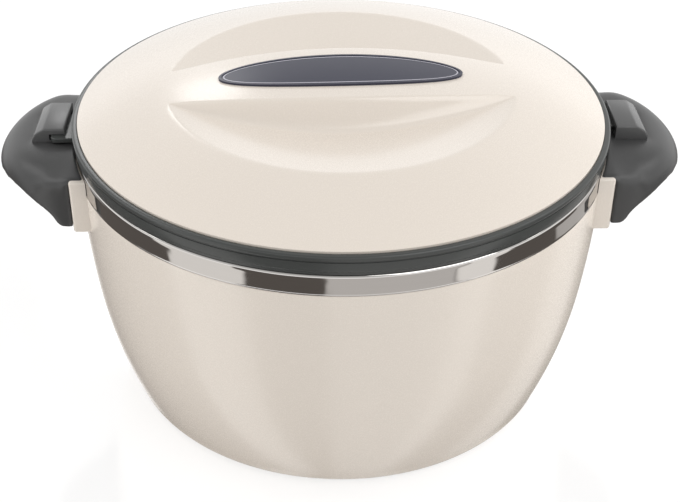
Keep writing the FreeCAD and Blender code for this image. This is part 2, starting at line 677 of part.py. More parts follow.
def lid_form(name, inset, bottom, edge):
    """The lid's domed form with its two finger scoops and the grip between them, drawn inset
    from the outside. Each scoop's floor is a shallow funnel that meets the dome on a circle."""
    lid = new_body(name)
    drop = "(%s)" % inset
    revolve(lid, name + "_floor", [
        ("0", bottom),
        (edge, bottom),
        (edge, "LidEdgeHeight - %s" % drop, "LidShoulderBend"),
        ("ScoopRadius", crown("ScoopRadius", "-" + drop)),
        ("ScoopFloorRadius", "ScoopFloorHeight - %s" % drop),
        ("0", "ScoopFloorHeight - %s" % drop),
    ])
    half = "(GripHalfWidth - %s)" % drop
    end = "(GripEndHalfWidth - %s)" % drop
    bend = "((GripHalfLength^2 + (GripHalfWidth - GripEndHalfWidth)^2)" \
           " / (2 * (GripHalfWidth - GripEndHalfWidth)))"
    extrude(lid, name + "_grip", "XY_Plane", [
        ("-GripHalfLength", "-" + end, bend),
        ("GripHalfLength", "-" + end),
        ("GripHalfLength", end, bend),
        ("-GripHalfLength", end),
    ], "LidCrown - LidEdgeHeight + 2", offset="LidCrown", down=True, taper="GripDraft")
    trim = revolve(lid, name + "_trim", [
        ("0", crown("0", "-" + drop)),
        ("0", "LidCrown + 20"),
        ("LidEdgeRadius + 20", "LidCrown + 20"),
        ("LidEdgeRadius + 20", "LidEdgeHeight - %s" % drop),
        ("LidEdgeRadius", "LidEdgeHeight - %s" % drop, "LidShoulderBend"),
        ("ScoopRadius", crown("ScoopRadius", "-" + drop), "(LidCrownBend - %s)" % drop),
    ], "PartDesign::Groove")
    return lid


outside = lid_form("cover_outside", "0", "RingLedge", "LidEdgeRadius")
inside = lid_form("cover_inside", "LidWall", "RingLedge - 5", "LidEdgeRadius - LidWall")
keep(turned(combine("Cut", "cover_solid", outside, inside), "LidTurn"), "lid_cover")

# The foam under the cover, and the steel panel that closes the lid below and dips into the
# bowl's mouth.
lid_fill = lid_form("lid_fill", "LidWall + FitGap", "RingLedge + SteelGauge + FitGap", "LidEdgeRadius - LidWall * 2")
keep(turned(lid_fill, "LidTurn"), "lid_foam")
panel = new_body("panel")
revolve(panel, "panel_sheet", [
    ("0", "PanelBottom"),
    ("PanelRadius - PanelCorner", "PanelBottom", "PanelCorner"),
    ("PanelRadius", "PanelBottom + PanelCorner"),
    ("PanelRadius", "RingLedge"),
    ("PanelFlangeRadius", "RingLedge"),
    ("PanelFlangeRadius", "RingLedge + SteelGauge"),
    ("PanelRadius - SteelGauge", "RingLedge + SteelGauge"),
    ("PanelRadius - SteelGauge", "PanelBottom + PanelCorner", "-(PanelCorner - SteelGauge)"),
    ("PanelRadius - PanelCorner", "PanelBottom + SteelGauge"),
    ("0", "PanelBottom + SteelGauge"),
])
keep(turned(panel, "LidTurn"), "lid_inner_plate")


def crown_shell(name, low, high):
    """A cap of even thickness that follows the crown."""
    cap = new_body(name)
    reach = "BadgeHalfLength + 5"
    revolve(cap, name + "_section", [
        ("0", crown("0", low)),
        ("0", crown("0", high), "-(LidCrownBend + (%s))" % high),
        (reach, crown(reach, high)),
        (reach, crown(reach, low), "(LidCrownBend + (%s))" % low),
    ])
    return cap


def badge_layer(name, inset, hole, low, high):
    plate = oval(name + "_plan", "BadgeHalfLength - (%s)" % inset, "BadgeHalfWidth - (%s)" % inset,
                 "LidRise * 2", z="LidEdgeHeight")
    if hole:
        inner = oval(name + "_hole", "BadgeHalfLength - (%s)" % hole, "BadgeHalfWidth - (%s)" % hole,
                     "LidRise * 2", z="LidEdgeHeight")
        plate = combine("Cut", name + "_outline", plate, inner)
    return combine("Common", name, plate, crown_shell(name + "_cap", low, high))


# The oval badge on the grip: a plain plate in a narrow raised frame.
keep(turned(badge_layer("badge_plate", "BadgeFrameWidth + FitGap / 2", None, "FitGap / 4", "BadgeThickness"),
            "LidTurn"), "lid_badge")
keep(turned(badge_layer("badge_edge", "0", "BadgeFrameWidth", "FitGap / 4",
                        "BadgeThickness + BadgeFrameRise"), "LidTurn"), "badge_frame")

doc.recompute()

for item in doc.Objects:
    if "Invalid" in item.State or "Error" in item.State:
        raise RuntimeError("%s is %s" % (item.Name, item.State))
for piece in NODES:
    shape = piece.Shape
    if shape.isNull() or not shape.isValid() or not shape.Solids:
        raise RuntimeError("%s has no valid solid" % piece.Label)

os.makedirs("parts", exist_ok=True)
for piece in NODES:
    piece.Shape.exportStep("parts/%s.step" % piece.Label)
    print(piece.Label, len(piece.Shape.Solids), round(piece.Shape.Volume, 1))
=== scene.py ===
import bpy
import bmesh
import math
from mathutils import Matrix, Vector


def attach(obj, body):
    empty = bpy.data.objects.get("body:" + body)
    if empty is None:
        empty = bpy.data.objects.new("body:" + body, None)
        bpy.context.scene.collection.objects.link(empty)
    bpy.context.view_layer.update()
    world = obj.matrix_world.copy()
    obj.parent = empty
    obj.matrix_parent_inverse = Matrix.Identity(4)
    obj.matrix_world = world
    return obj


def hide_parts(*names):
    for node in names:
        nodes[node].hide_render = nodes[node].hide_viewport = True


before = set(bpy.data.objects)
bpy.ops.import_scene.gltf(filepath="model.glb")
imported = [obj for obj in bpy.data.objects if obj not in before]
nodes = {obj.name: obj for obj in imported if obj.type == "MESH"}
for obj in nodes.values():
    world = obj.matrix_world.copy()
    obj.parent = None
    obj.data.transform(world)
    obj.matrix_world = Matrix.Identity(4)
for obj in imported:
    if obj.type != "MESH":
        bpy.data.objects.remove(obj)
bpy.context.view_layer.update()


# The outer shell is moulded in glossy cream plastic: a bowl-shaped wall on a foot ring, with a
# thin lip above that goes up inside the steel rim, and a flat-faced pad at each side for a
# handle. The wall is turned from one section whose corners are eased before it is spun.
millimetre, merge_distance, steps_round = 0.001, 0.001, 256
flattest_corner, corner_room, crease = math.radians(150), 2.2, 35


def turned(name, section, ease=0.25):
    """Spin a closed section, in millimetres, round the pot's axis. A point is (radius, height);
    a swing is (centre radius, centre height, degrees, pieces) and carries on from the last point.
    Corners that have room for it are eased by the given length."""
    bm = bmesh.new()
    first = bm.verts.new((section[0][0], 0, section[0][1]))
    last = first
    for item in section[1:]:
        if len(item) == 2:
            point = bm.verts.new((item[0], 0, item[1]))
            bm.edges.new((last, point))
            last = point
            continue
        swung = bmesh.ops.spin(bm, geom=[last], axis=(0, -1, 0), cent=(item[0], 0, item[1]),
                               angle=math.radians(item[2]), steps=item[3])
        last = [part for part in swung["geom_last"] if isinstance(part, bmesh.types.BMVert)][0]
    on_axis = 1e-6
    if abs(last.co.x) > on_axis or abs(first.co.x) > on_axis:
        bm.edges.new((last, first))
    corners = []
    for point in bm.verts:
        if len(point.link_edges) == 2:
            arms = [edge.other_vert(point).co - point.co for edge in point.link_edges]
            shorter = min(arm.length for arm in arms)
            if arms[0].angle(arms[1]) < flattest_corner and shorter > ease * corner_room:
                corners.append(point)
    bmesh.ops.bevel(bm, geom=corners, affect="VERTICES", offset=ease, segments=3, profile=0.5, material=-1)
    bmesh.ops.spin(bm, geom=bm.verts[:] + bm.edges[:], axis=(0, 0, 1), cent=(0, 0, 0),
                   angle=math.tau, steps=steps_round, use_merge=True)
    bmesh.ops.remove_doubles(bm, verts=bm.verts, dist=merge_distance)
    bmesh.ops.recalc_face_normals(bm, faces=bm.faces)
    return finished(name, bm)


def placed(name, mesh):
    """Put a mesh into the scene as an object at the origin."""
    piece = bpy.data.objects.new(name, mesh)
    bpy.context.scene.collection.objects.link(piece)
    return piece


def shaded(mesh, sharp=crease):
    """Shade a mesh smooth, apart from edges that bend by more than an angle in degrees."""
    mesh.shade_smooth()
    mesh.set_sharp_from_angle(angle=math.radians(sharp))


def finished(name, bm, sharp=crease):
    """Turn a mesh drawn in millimetres into a smooth-shaded object in metres."""
    bmesh.ops.scale(bm, vec=(millimetre, millimetre, millimetre), verts=bm.verts)
    mesh = bpy.data.meshes.new(name)
    bm.to_mesh(mesh)
    bm.free()
    shaded(mesh, sharp)
    return placed(name, mesh)


def moulded_plastic(name, colour, roughness, coat=0.0, grain=0.0, mottle=0.008, grain_scale=2600):
    """Moulded plastic: a faint drift of tone across the piece, and a fine grain in its surface."""
    material = bpy.data.materials.new(name)
    material.use_nodes = True
    tree = material.node_tree
    shader = tree.nodes["Principled BSDF"]
    shader.inputs["IOR"].default_value = 1.46
    shader.inputs["Coat Weight"].default_value = coat
    shader.inputs["Coat Roughness"].default_value = 0.15
    place = tree.nodes.new("ShaderNodeTexCoord")
    drift = tree.nodes.new("ShaderNodeTexNoise")
    drift.inputs["Scale"].default_value = 7
    drift.inputs["Detail"].default_value = 0
    tree.links.new(place.outputs["Object"], drift.inputs["Vector"])
    tone = tree.nodes.new("ShaderNodeMix")
    tone.data_type = "RGBA"
    tone.inputs["A"].default_value = (*[c * (1 - mottle) for c in colour], 1)
    tone.inputs["B"].default_value = (*[min(c * (1 + mottle), 1) for c in colour], 1)
    tree.links.new(drift.outputs["Fac"], tone.inputs["Factor"])
    tree.links.new(tone.outputs["Result"], shader.inputs["Base Color"])
    shader.inputs["Roughness"].default_value = roughness
    if grain:
        pores = tree.nodes.new("ShaderNodeTexNoise")
        pores.inputs["Scale"].default_value = grain_scale
        pores.inputs["Detail"].default_value = 2
        tree.links.new(place.outputs["Object"], pores.inputs["Vector"])
        polish = tree.nodes.new("ShaderNodeMapRange")
        polish.inputs["To Min"].default_value = roughness * 0.85
        polish.inputs["To Max"].default_value = roughness * 1.15
        tree.links.new(pores.outputs["Fac"], polish.inputs["Value"])
        tree.links.new(polish.outputs["Result"], shader.inputs["Roughness"])
        bump = tree.nodes.new("ShaderNodeBump")
        bump.inputs["Strength"].default_value = grain
        bump.inputs["Distance"].default_value = 0.0001
        tree.links.new(pores.outputs["Fac"], bump.inputs["Height"])
        tree.links.new(bump.outputs["Normal"], shader.inputs["Normal"])
    return material


def dress(piece, material):
    """Give every face of a piece one material."""
    piece.data.materials.clear()
    piece.data.materials.append(material)
    for face in piece.data.polygons:
        face.material_index = 0


def carved(piece, tool, sharp=crease):
    """Cut a tool out of a piece, which uses the tool up."""
    cut = piece.modifiers.new("cut", "BOOLEAN")
    cut.object = tool
    cut.operation = "DIFFERENCE"
    cut.solver = "EXACT"
    graph = bpy.context.evaluated_depsgraph_get()
    mesh = bpy.data.meshes.new_from_object(piece.evaluated_get(graph))
    piece.modifiers.clear()
    piece.data = mesh
    shaded(mesh, sharp)
    bpy.data.objects.remove(tool)
    return piece


def block(name, low, high, bevel, segments=4, chosen=None):
    """A box in millimetres with its edges rounded, all of them or those that pass a test."""
    bm = bmesh.new()
    bmesh.ops.create_cube(bm, size=1)
    size = [top - bottom for bottom, top in zip(low, high)]
    middle = [(top + bottom) / 2 for bottom, top in zip(low, high)]
    bmesh.ops.scale(bm, vec=size, verts=bm.verts)
    bmesh.ops.translate(bm, vec=middle, verts=bm.verts)
    edges = [edge for edge in bm.edges if chosen is None or chosen(edge)]
    bmesh.ops.bevel(bm, geom=edges, affect="EDGES", offset=bevel, segments=segments, profile=0.5,
                    material=-1)
    return finished(name, bm)


def welded(name, pieces):
    """Several shells of one moulding, kept as one piece."""
    bm = bmesh.new()
    for part in pieces:
        bm.from_mesh(part.data)
    mesh = bpy.data.meshes.new(name)
    bm.to_mesh(mesh)
    bm.free()
    shaded(mesh)
    for part in pieces:
        bpy.data.objects.remove(part)
    return placed(name, mesh)


body_radius, body_height = 128.8, 123.7
upper_bend, lower_bend = 533.97, 249.42
upper_centre = (body_radius - upper_bend, body_height)
waist = (125.2, 61.8)
lean = math.atan2(body_height - waist[1], waist[0] - upper_centre[0])
lower_centre = (waist[0] - lower_bend * math.cos(lean), waist[1] + lower_bend * math.sin(lean))


def wall_arc(bend_shift, low, high, pieces):
    """Points up one of the wall's two arcs, between two heights, at a depth inside its face."""
    points = []
    for step in range(pieces + 1):
        z = low + (high - low) * step / pieces
        centre, bend = (lower_centre, lower_bend) if z < waist[1] else (upper_centre, upper_bend)
        points.append((centre[0] + math.sqrt(bend ** 2 - (z - centre[1]) ** 2) - bend_shift, z))
    return points


recess_radius, recess_height, foot_inner = 98.3, 1.5, 99.8
foot_corner, foot_inset, foot_swing = 4.0, 1.03, 68.0
lip_outer, lip_inner, lip_top, lip_root = 127.8, 125.8, 131.6, 121.1
wall_thickness, wall_bottom, inner_top, inner_bottom = 2.6, 3.4, 118.5, 7.1
floor_radius, floor_top = 104.6, 4.5
corner_centre = (wall_arc(0, foot_corner, body_height, 1)[0][0] - foot_corner * foot_inset, foot_corner)
shell_section = [(0, recess_height), (recess_radius, recess_height), (foot_inner, 0),
                 (corner_centre[0], 0), (*corner_centre, foot_swing, 8)]
shell_section += wall_arc(0, wall_bottom, body_height, 48)
shell_section += [(lip_outer, body_height), (lip_outer, lip_top), (lip_inner, lip_top),
                  (lip_inner, lip_root)]
shell_section += wall_arc(wall_thickness, inner_top, inner_bottom, 24)
shell_section += [(floor_radius, floor_top), (0, floor_top)]
shell_wall = turned("shell_wall", shell_section)

pad_face, pad_half_width, pad_bottom, pad_top, pad_rounding = 127.0, 49.7, 104.0, 131.7, 1.4
pads = block("pads", (-pad_face, -pad_half_width, pad_bottom), (pad_face, pad_half_width, pad_top),
             pad_rounding)
pad_root, pad_lip_root, core_bottom, core_top = 127.4, 129.0, 90, 150
pad_core = turned("pad_core", [
    (0, core_bottom), (pad_root, core_bottom), (pad_root, body_height), (pad_lip_root, body_height),
    (pad_lip_root, core_top), (0, core_top)], ease=0.05)
outer_body = welded("shell", [shell_wall, carved(pads, pad_core)])
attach(outer_body, "pot")
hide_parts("outer_body")

cream = moulded_plastic("cream plastic", (0.730, 0.663, 0.590), 0.27, coat=0.5, grain=0.04)
dress(outer_body, cream)
dress(nodes["base_plug"], cream)

# The space between shell and bowl, and the lid, are filled with rigid foam of a dull yellow.
foam_fill = moulded_plastic("foam fill", (0.72, 0.60, 0.36), 0.9, grain=0.6, mottle=0.06, grain_scale=900)
dress(nodes["pot_foam"], foam_fill)
dress(nodes["lid_foam"], foam_fill)


# The inner bowl is pressed from polished sheet steel, and its rim is turned out and down over
# the shell's lip, where it shows as the bright band.
def polished_steel(name, colour, roughness):
    """Bright sheet steel with faint polishing lines that run round the pot's axis."""
    material = bpy.data.materials.new(name)
    material.use_nodes = True
    tree = material.node_tree
    shader = tree.nodes["Principled BSDF"]
    shader.inputs["Metallic"].default_value = 1
    place = tree.nodes.new("ShaderNodeTexCoord")
    stretch = tree.nodes.new("ShaderNodeMapping")
    stretch.inputs["Scale"].default_value = (6, 6, 900)
    lines = tree.nodes.new("ShaderNodeTexNoise")
    lines.inputs["Scale"].default_value = 3
    lines.inputs["Detail"].default_value = 4
    tree.links.new(place.outputs["Object"], stretch.inputs["Vector"])
    tree.links.new(stretch.outputs["Vector"], lines.inputs["Vector"])
    tone = tree.nodes.new("ShaderNodeMix")
    tone.data_type = "RGBA"
    tone.inputs["A"].default_value = (*[c * 0.94 for c in colour], 1)
    tone.inputs["B"].default_value = (*colour, 1)
    tree.links.new(lines.outputs["Fac"], tone.inputs["Factor"])
    tree.links.new(tone.outputs["Result"], shader.inputs["Base Color"])
    polish = tree.nodes.new("ShaderNodeMapRange")
    polish.inputs["To Min"].default_value = roughness * 0.7
    polish.inputs["To Max"].default_value = roughness * 1.4
    tree.links.new(lines.outputs["Fac"], polish.inputs["Value"])
    tree.links.new(polish.outputs["Result"], shader.inputs["Roughness"])
    waves = tree.nodes.new("ShaderNodeTexNoise")
    waves.inputs["Scale"].default_value = 45
    tree.links.new(place.outputs["Object"], waves.inputs["Vector"])
    bump = tree.nodes.new("ShaderNodeBump")
    bump.inputs["Strength"].default_value = 0.6
    bump.inputs["Distance"].default_value = 0.0006
    tree.links.new(waves.outputs["Fac"], bump.inputs["Height"])
    tree.links.new(bump.outputs["Normal"], shader.inputs["Normal"])
    return material


steel = polished_steel("polished steel", (0.57, 0.55, 0.53), 0.06)
bowl_bottom, bowl_floor, wall_outer, wall_inner = 14.2, 15.0, 117.8, 97.0
bowl_corner, mouth_turn, rim_turn = (73.0, 39.0), (119.8, 131.4), (126.4, 131.8)
rim_under, rim_top, flat_inset = 133.4, 134.2, 0.2
band_inner, hem_bottom, hem_radius = 128.0, 123.75, 129.0
bowl = turned("bowl", [
    (0, bowl_bottom), (bowl_corner[0], bowl_bottom), (*bowl_corner, 90, 14),
    (wall_outer, mouth_turn[1]), (*mouth_turn, -90, 6), (rim_turn[0], rim_under), (*rim_turn, -90, 6),
    (band_inner, hem_bottom), (hem_radius - 0.25, hem_bottom), (hem_radius, 123.95),
    (hem_radius, 124.3), (body_radius, 124.6), (body_radius, 125.0),
    (body_radius, rim_turn[1] - flat_inset), (body_radius, rim_turn[1]), (*rim_turn, 90, 12),
    (rim_turn[0] - flat_inset, rim_top), (mouth_turn[0] + flat_inset, rim_top),
    (mouth_turn[0], rim_top), (*mouth_turn, 90, 8), (wall_inner, bowl_corner[1]),
    (*bowl_corner, -90, 14), (0, bowl_floor)], ease=0.1)
dress(bowl, steel)
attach(bowl, "pot")
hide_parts("inner_bowl")


# The handles are moulded hollow in satin dark plastic and screwed to the pads from inside. Each
# is laid out again in even facets, its front shoulder is drawn down, and its surface is relaxed,
# which softens the edges as a mould does. These lengths are in metres.
facet, copy_merge = 0.0008, 0.000002
front_dip, dip_at_pad = 0.0045, 0.35
relax_turns, turns_all_over = 54, 3
relax_from_x, x_per_turn, relax_from_z, z_per_turn = 0.129, 0.00005, 0.107, 0.0003


def ramp(value, start, run):
    """How far a value has come along a run, from 0 to 1."""
    return min(max((value - start) / run, 0), 1)


def relaxed(name, node):
    """A copy of a node in even facets, dipped at the front and smoothed. The smoothing draws back
    a little with each turn, towards the handle's tip and top, so that it ends without a step."""
    bm = bmesh.new()
    bm.from_mesh(nodes[node].data)
    bmesh.ops.remove_doubles(bm, verts=bm.verts, dist=copy_merge)
    mesh = bpy.data.meshes.new(name)
    bm.to_mesh(mesh)
    bm.free()
    piece = placed(name, mesh)
    even = piece.modifiers.new("even facets", "REMESH")
    even.mode = "VOXEL"
    even.voxel_size = facet
    graph = bpy.context.evaluated_depsgraph_get()
    even_mesh = bpy.data.meshes.new_from_object(piece.evaluated_get(graph))
    piece.modifiers.clear()
    bm = bmesh.new()
    bm.from_mesh(even_mesh)
    for point in bm.verts:
        forward = ramp(-point.co.y, 0.018, 0.031)
        outward = ramp(abs(point.co.x), 0.127, 0.010)
        upward = ramp(point.co.z, 0.112, 0.013)
        point.co.z -= front_dip * forward ** 2 * (dip_at_pad + (1 - dip_at_pad) * outward) * upward
    for turn in range(relax_turns):
        least_x, least_z = relax_from_x + x_per_turn * turn, relax_from_z + z_per_turn * turn
        loose = [point for point in bm.verts if turn < turns_all_over or
                 abs(point.co.x) > least_x and point.co.z > least_z]
        bmesh.ops.smooth_vert(bm, verts=loose, factor=0.5, use_axis_x=True, use_axis_y=True,
                              use_axis_z=True)
    bm.to_mesh(even_mesh)
    bm.free()
    piece.data = even_mesh
    even_mesh.shade_smooth()
    return piece


satin_dark = moulded_plastic("satin dark plastic", (0.048, 0.048, 0.048), 0.36, grain=0.25)
for side in ("left", "right"):
    handle = relaxed(side + "_grip_handle", side + "_handle")
    dress(handle, satin_dark)
    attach(handle, "pot")
    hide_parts(side + "_handle")

# On each handle stands a lock hood: a moulded block, open at one end, whose roof holds down a
# lug of the lid ring. Its outer side is rounded over. The left one is the right one turned
# half round the pot.
hood_plastic = moulded_plastic("hood plastic", (0.085, 0.085, 0.085), 0.24, grain=0.25)
hood_inner, hood_outer, hood_foot, hood_top, hood_half_length = 133, 149, 132.2, 139.9, 14
hood_end = ((hood_inner, hood_foot), (hood_outer, hood_foot), (hood_outer, 134.5), (147.6, 137.2),
            (143.2, hood_top), (hood_inner, hood_top))
hood_rounding, sharp_below, slot_rounding = 0.9, 134, 0.3
slot_low, slot_high = (132, -11.3, 134.1), (140.6, 15, 137.2)
for side, turn in (("right", 0), ("left", 180)):
    bm = bmesh.new()
    end = bm.faces.new([bm.verts.new((x, -hood_half_length, z)) for x, z in hood_end])
    drawn = bmesh.ops.extrude_face_region(bm, geom=[end])
    far_end = [item for item in drawn["geom"] if isinstance(item, bmesh.types.BMVert)]
    bmesh.ops.translate(bm, vec=(0, 2 * hood_half_length, 0), verts=far_end)
    bmesh.ops.recalc_face_normals(bm, faces=bm.faces)
    upper_edges = [edge for edge in bm.edges if min(point.co.z for point in edge.verts) > sharp_below]
    bmesh.ops.bevel(bm, geom=upper_edges, affect="EDGES", offset=hood_rounding, segments=4, profile=0.5,
                    material=-1)
    hood = finished(side + "_hood", bm)
    hood = carved(hood, block("hood_slot", slot_low, slot_high, slot_rounding, 2), 40)
    hood.data.transform(Matrix.Rotation(math.radians(turn), 4, "Z"))
    dress(hood, hood_plastic)
    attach(hood, "pot")
    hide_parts(side + "_lock_hood")

# Zinc-plated screws hold the handles to the pads and the hoods to the handles.
zinc = polished_steel("zinc plate", (0.55, 0.55, 0.55), 0.3)
for name in ("left_handle_screws", "right_handle_screws", "left_hood_screw", "right_hood_screw"):
    dress(nodes[name], zinc)

# A silicone gasket lies on the steel rim and seals the lid ring.
silicone = moulded_plastic("silicone", (0.62, 0.62, 0.60), 0.5)
dress(nodes["lid_gasket"], silicone)

# The lid's ring is moulded in semi-gloss dark plastic: a rounded lip above a groove, a plain
# band and a narrow foot. Two lugs stand out from it and slide under the hoods as the lid turns.
lid_turn = math.radians(2.2)
ring_dark = moulded_plastic("semi-gloss dark plastic", (0.052, 0.055, 0.053), 0.22)
ring_inner, ring_ledge, ring_foot = 117.5, 139.0, 134.4
gasket_inner, gasket_outer, gasket_roof, gasket_gap = 119.45, 125.35, 137.0, 0.2
foot_outer, band_outer, groove_inner, groove_bottom = 128.5, 129.3, 128.9, 140.7
lip_under, lip_upper, ring_top = (129.2, 142.4), (129.0, 143.1), 144.1
ring_band = turned("ring_band", [
    (ring_inner, ring_foot + gasket_gap), (gasket_inner, ring_foot + gasket_gap),
    (gasket_inner, gasket_roof), (gasket_outer, gasket_roof), (gasket_outer, ring_foot),
    (foot_outer, ring_foot), (foot_outer, 135.7), (band_outer, 136.5), (band_outer, groove_bottom),
    (groove_inner, groove_bottom), (groove_inner, 141.5), (lip_under[0], 141.6), (*lip_under, 90, 4),
    (lip_upper[0] + 1.0, lip_upper[1]), (*lip_upper, 90, 6), (127.2, ring_top), (127.2, ring_ledge),
    (ring_inner, ring_ledge)], ease=0.12)

lug_root, lug_end, lug_half_width, lug_top, lug_rounding = 127.0, 140.0, 12.5, 136.9, 3.0


def at_lug_end(edge):
    """Whether an edge stands upright at the outer end of a lug."""
    one, other = (point.co for point in edge.verts)
    return min(abs(one.x), abs(other.x)) > lug_end - 1 and abs(one.z - other.z) > 1


lugs = []
for side in (1, -1):
    low_x, high_x = sorted((side * lug_root, side * lug_end))
    lugs.append(block("lug", (low_x, -lug_half_width, ring_foot), (high_x, lug_half_width, lug_top),
                      lug_rounding, 6, at_lug_end))
ring = welded("ring", [ring_band, *lugs])
ring.data.transform(Matrix.Rotation(lid_turn, 4, "Z"))
soft_edge = ring.modifiers.new("soft edge", "BEVEL")
soft_edge.width = 0.0004
soft_edge.segments = 2
soft_edge.limit_method = "ANGLE"
soft_edge.angle_limit = math.radians(60)
dress(ring, ring_dark)
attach(ring, "lid")
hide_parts("lid_ring")

# The lid's cover is one cream moulding: a low dome with two finger scoops pressed into it and the
# grip left standing between them. The dome is spun flat, made finer beside the grip, and then
# every point is raised to the height that the form has there.
cover_radius, cover_edge, crown_top, crown_bend = 127.0, 145.0, 163.7, 500.0
scoop_radius, scoop_floor_radius, scoop_floor = 84.0, 30.0, 148.4
grip_half_width, grip_bend, grip_slope = 26.5, 253.7, 1 / math.tan(math.radians(28))
shoulder_bend, brow_blend, floor_blend = 230.0, 2.4, 6.0
scoop_edge = crown_top - crown_bend + math.sqrt(crown_bend ** 2 - scoop_radius ** 2)
chord = Vector((cover_radius - scoop_radius, cover_edge - scoop_edge))
shoulder_centre = (Vector((scoop_radius, scoop_edge)) + chord / 2 - Vector((-chord.y, chord.x)).normalized()
                   * math.sqrt(shoulder_bend ** 2 - chord.length_squared / 4))


def crown_height(r):
    if r < scoop_radius:
        return crown_top - crown_bend + math.sqrt(crown_bend ** 2 - r ** 2)
    return shoulder_centre.y + math.sqrt(shoulder_bend ** 2 - (r - shoulder_centre.x) ** 2)


def beyond_grip(x, y):
    """How far a point lies outside the grip's outline, seen from above."""
    return math.hypot(x, abs(y) + grip_bend - grip_half_width) - grip_bend


def blended(a, b, width):
    """The lower of two heights, with the corner between them rounded over."""
    share = max(width - abs(a - b), 0) / width
    return min(a, b) - share ** 2 * width / 4


def cover_height(x, y):
    r = math.hypot(x, y)
    crown = crown_height(r)
    if r >= scoop_radius:
        return crown
    across = max(r - scoop_floor_radius, 0) / (scoop_radius - scoop_floor_radius)
    floor = scoop_floor + (scoop_edge - scoop_floor) * across
    side = crown_top - beyond_grip(x, y) * grip_slope
    depth = crown - floor
    top = blended(crown, side, min(brow_blend, depth))
    return -blended(-top, -floor, min(floor_blend, depth))


# The cover's edge goes down over the ring's seat, in under it and up again to a flat ceiling. Each
# step is how far it narrows and how far it drops.
edge_foot_radius, cover_steps, cover_spokes = 124.5, 90, 288
edge_steps = ((1.0, 0.6), (1.0, 5.4), (edge_foot_radius / cover_radius, 0.0), (1.0, -3.4), (0.6, -0.6))
fine_within, fine_inward, fine_outward = 86, -2.5, (7.5, 6.5)
bm = bmesh.new()
spoke = [bm.verts.new((0, 0, 0))]
for step in range(1, cover_steps + 1):
    point = bm.verts.new((cover_radius * step / cover_steps, 0, 0))
    bm.edges.new((spoke[-1], point))
    spoke.append(point)
bmesh.ops.spin(bm, geom=bm.verts[:] + bm.edges[:], axis=(0, 0, 1), cent=(0, 0, 0), angle=math.tau,
               steps=cover_spokes, use_merge=True)
bmesh.ops.remove_doubles(bm, verts=bm.verts, dist=merge_distance / 2)
for reach in fine_outward:
    fine = [edge for edge in bm.edges if math.hypot(*edge.verts[0].co.xy) < fine_within
            and all(fine_inward < beyond_grip(*point.co.xy) < reach for point in edge.verts)]
    bmesh.ops.subdivide_edges(bm, edges=fine, cuts=1, use_grid_fill=True)
for point in bm.verts:
    point.co.z = cover_height(point.co.x, point.co.y)
rim = [edge for edge in bm.edges if edge.is_boundary]
for narrowing, drop in edge_steps:
    drawn = bmesh.ops.extrude_edge_only(bm, edges=rim)
    points = [item for item in drawn["geom"] if isinstance(item, bmesh.types.BMVert)]
    bmesh.ops.scale(bm, vec=(narrowing, narrowing, 1), verts=points)
    bmesh.ops.translate(bm, vec=(0, 0, -drop), verts=points)
    rim = [item for item in drawn["geom"] if isinstance(item, bmesh.types.BMEdge)]
bmesh.ops.holes_fill(bm, edges=rim)
bmesh.ops.recalc_face_normals(bm, faces=bm.faces)
bmesh.ops.rotate(bm, cent=(0, 0, 0), matrix=Matrix.Rotation(lid_turn, 3, "Z"), verts=bm.verts)
cover = finished("cover", bm, 60)
dress(cover, cream)
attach(cover, "lid")
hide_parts("lid_cover")

# A dished steel panel closes the lid below and dips into the bowl's mouth.
dish_bottom, dish_turn, dish_outer, dish_inner = 127.0, (110.8, 132.0), 115.8, 115.0
flange_outer, panel_sheet = 121.5, 0.8
panel = turned("panel", [
    (0, dish_bottom), (dish_turn[0], dish_bottom), (*dish_turn, 90, 8), (dish_outer, ring_ledge),
    (flange_outer, ring_ledge), (flange_outer, ring_ledge + panel_sheet),
    (dish_inner, ring_ledge + panel_sheet), (dish_inner, dish_turn[1]), (*dish_turn, -90, 8),
    (0, dish_bottom + panel_sheet)], ease=0.1)
dress(panel, steel)
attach(panel, "lid")
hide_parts("lid_inner_plate")

# The badge on the grip is a plain oval, lacquered navy, in a narrow raised frame. A thin pale
# line is printed round it, just inside the frame.
navy = moulded_plastic("navy lacquer", (0.022, 0.023, 0.045), 0.28)
dress(nodes["lid_badge"], navy)
dress(nodes["badge_frame"], navy)
line_half_length, line_half_width, line_width, line_lift = 56.6, 13.7, 0.6, 0.84
narrowed = [(half - line_width) / half for half in (line_half_length, line_half_width)]
bm = bmesh.new()
line = bmesh.ops.create_circle(bm, radius=1, segments=160)
bmesh.ops.scale(bm, vec=(line_half_length, line_half_width, 1), verts=line["verts"])
drawn = bmesh.ops.extrude_edge_only(bm, edges=bm.edges[:])
inner = [item for item in drawn["geom"] if isinstance(item, bmesh.types.BMVert)]
bmesh.ops.scale(bm, vec=(*narrowed, 1), verts=inner)
for point in bm.verts:
    point.co.z = crown_height(math.hypot(*point.co.xy)) + line_lift
bmesh.ops.recalc_face_normals(bm, faces=bm.faces)
bmesh.ops.rotate(bm, cent=(0, 0, 0), matrix=Matrix.Rotation(lid_turn, 3, "Z"), verts=bm.verts)
pinstripe = finished("pinstripe", bm)
dress(pinstripe, moulded_plastic("pale print", (0.50, 0.49, 0.55), 0.3))
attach(pinstripe, "lid")

# The pot stands on a white table in a white studio. The camera sees both as plain white, and the
# table keeps the pot's soft shadow. Tall white cards stand round the table with dim gaps between
# them, and the polished steel and plastic mirror these cards instead of the table.
table_albedo, shade_share, mirror_share, white_share = 0.85, 0.30, 0.12, 0.65
table_polish, table_half_width = 0.12, 4000


def grey(level):
    return (level, level, level, 1)


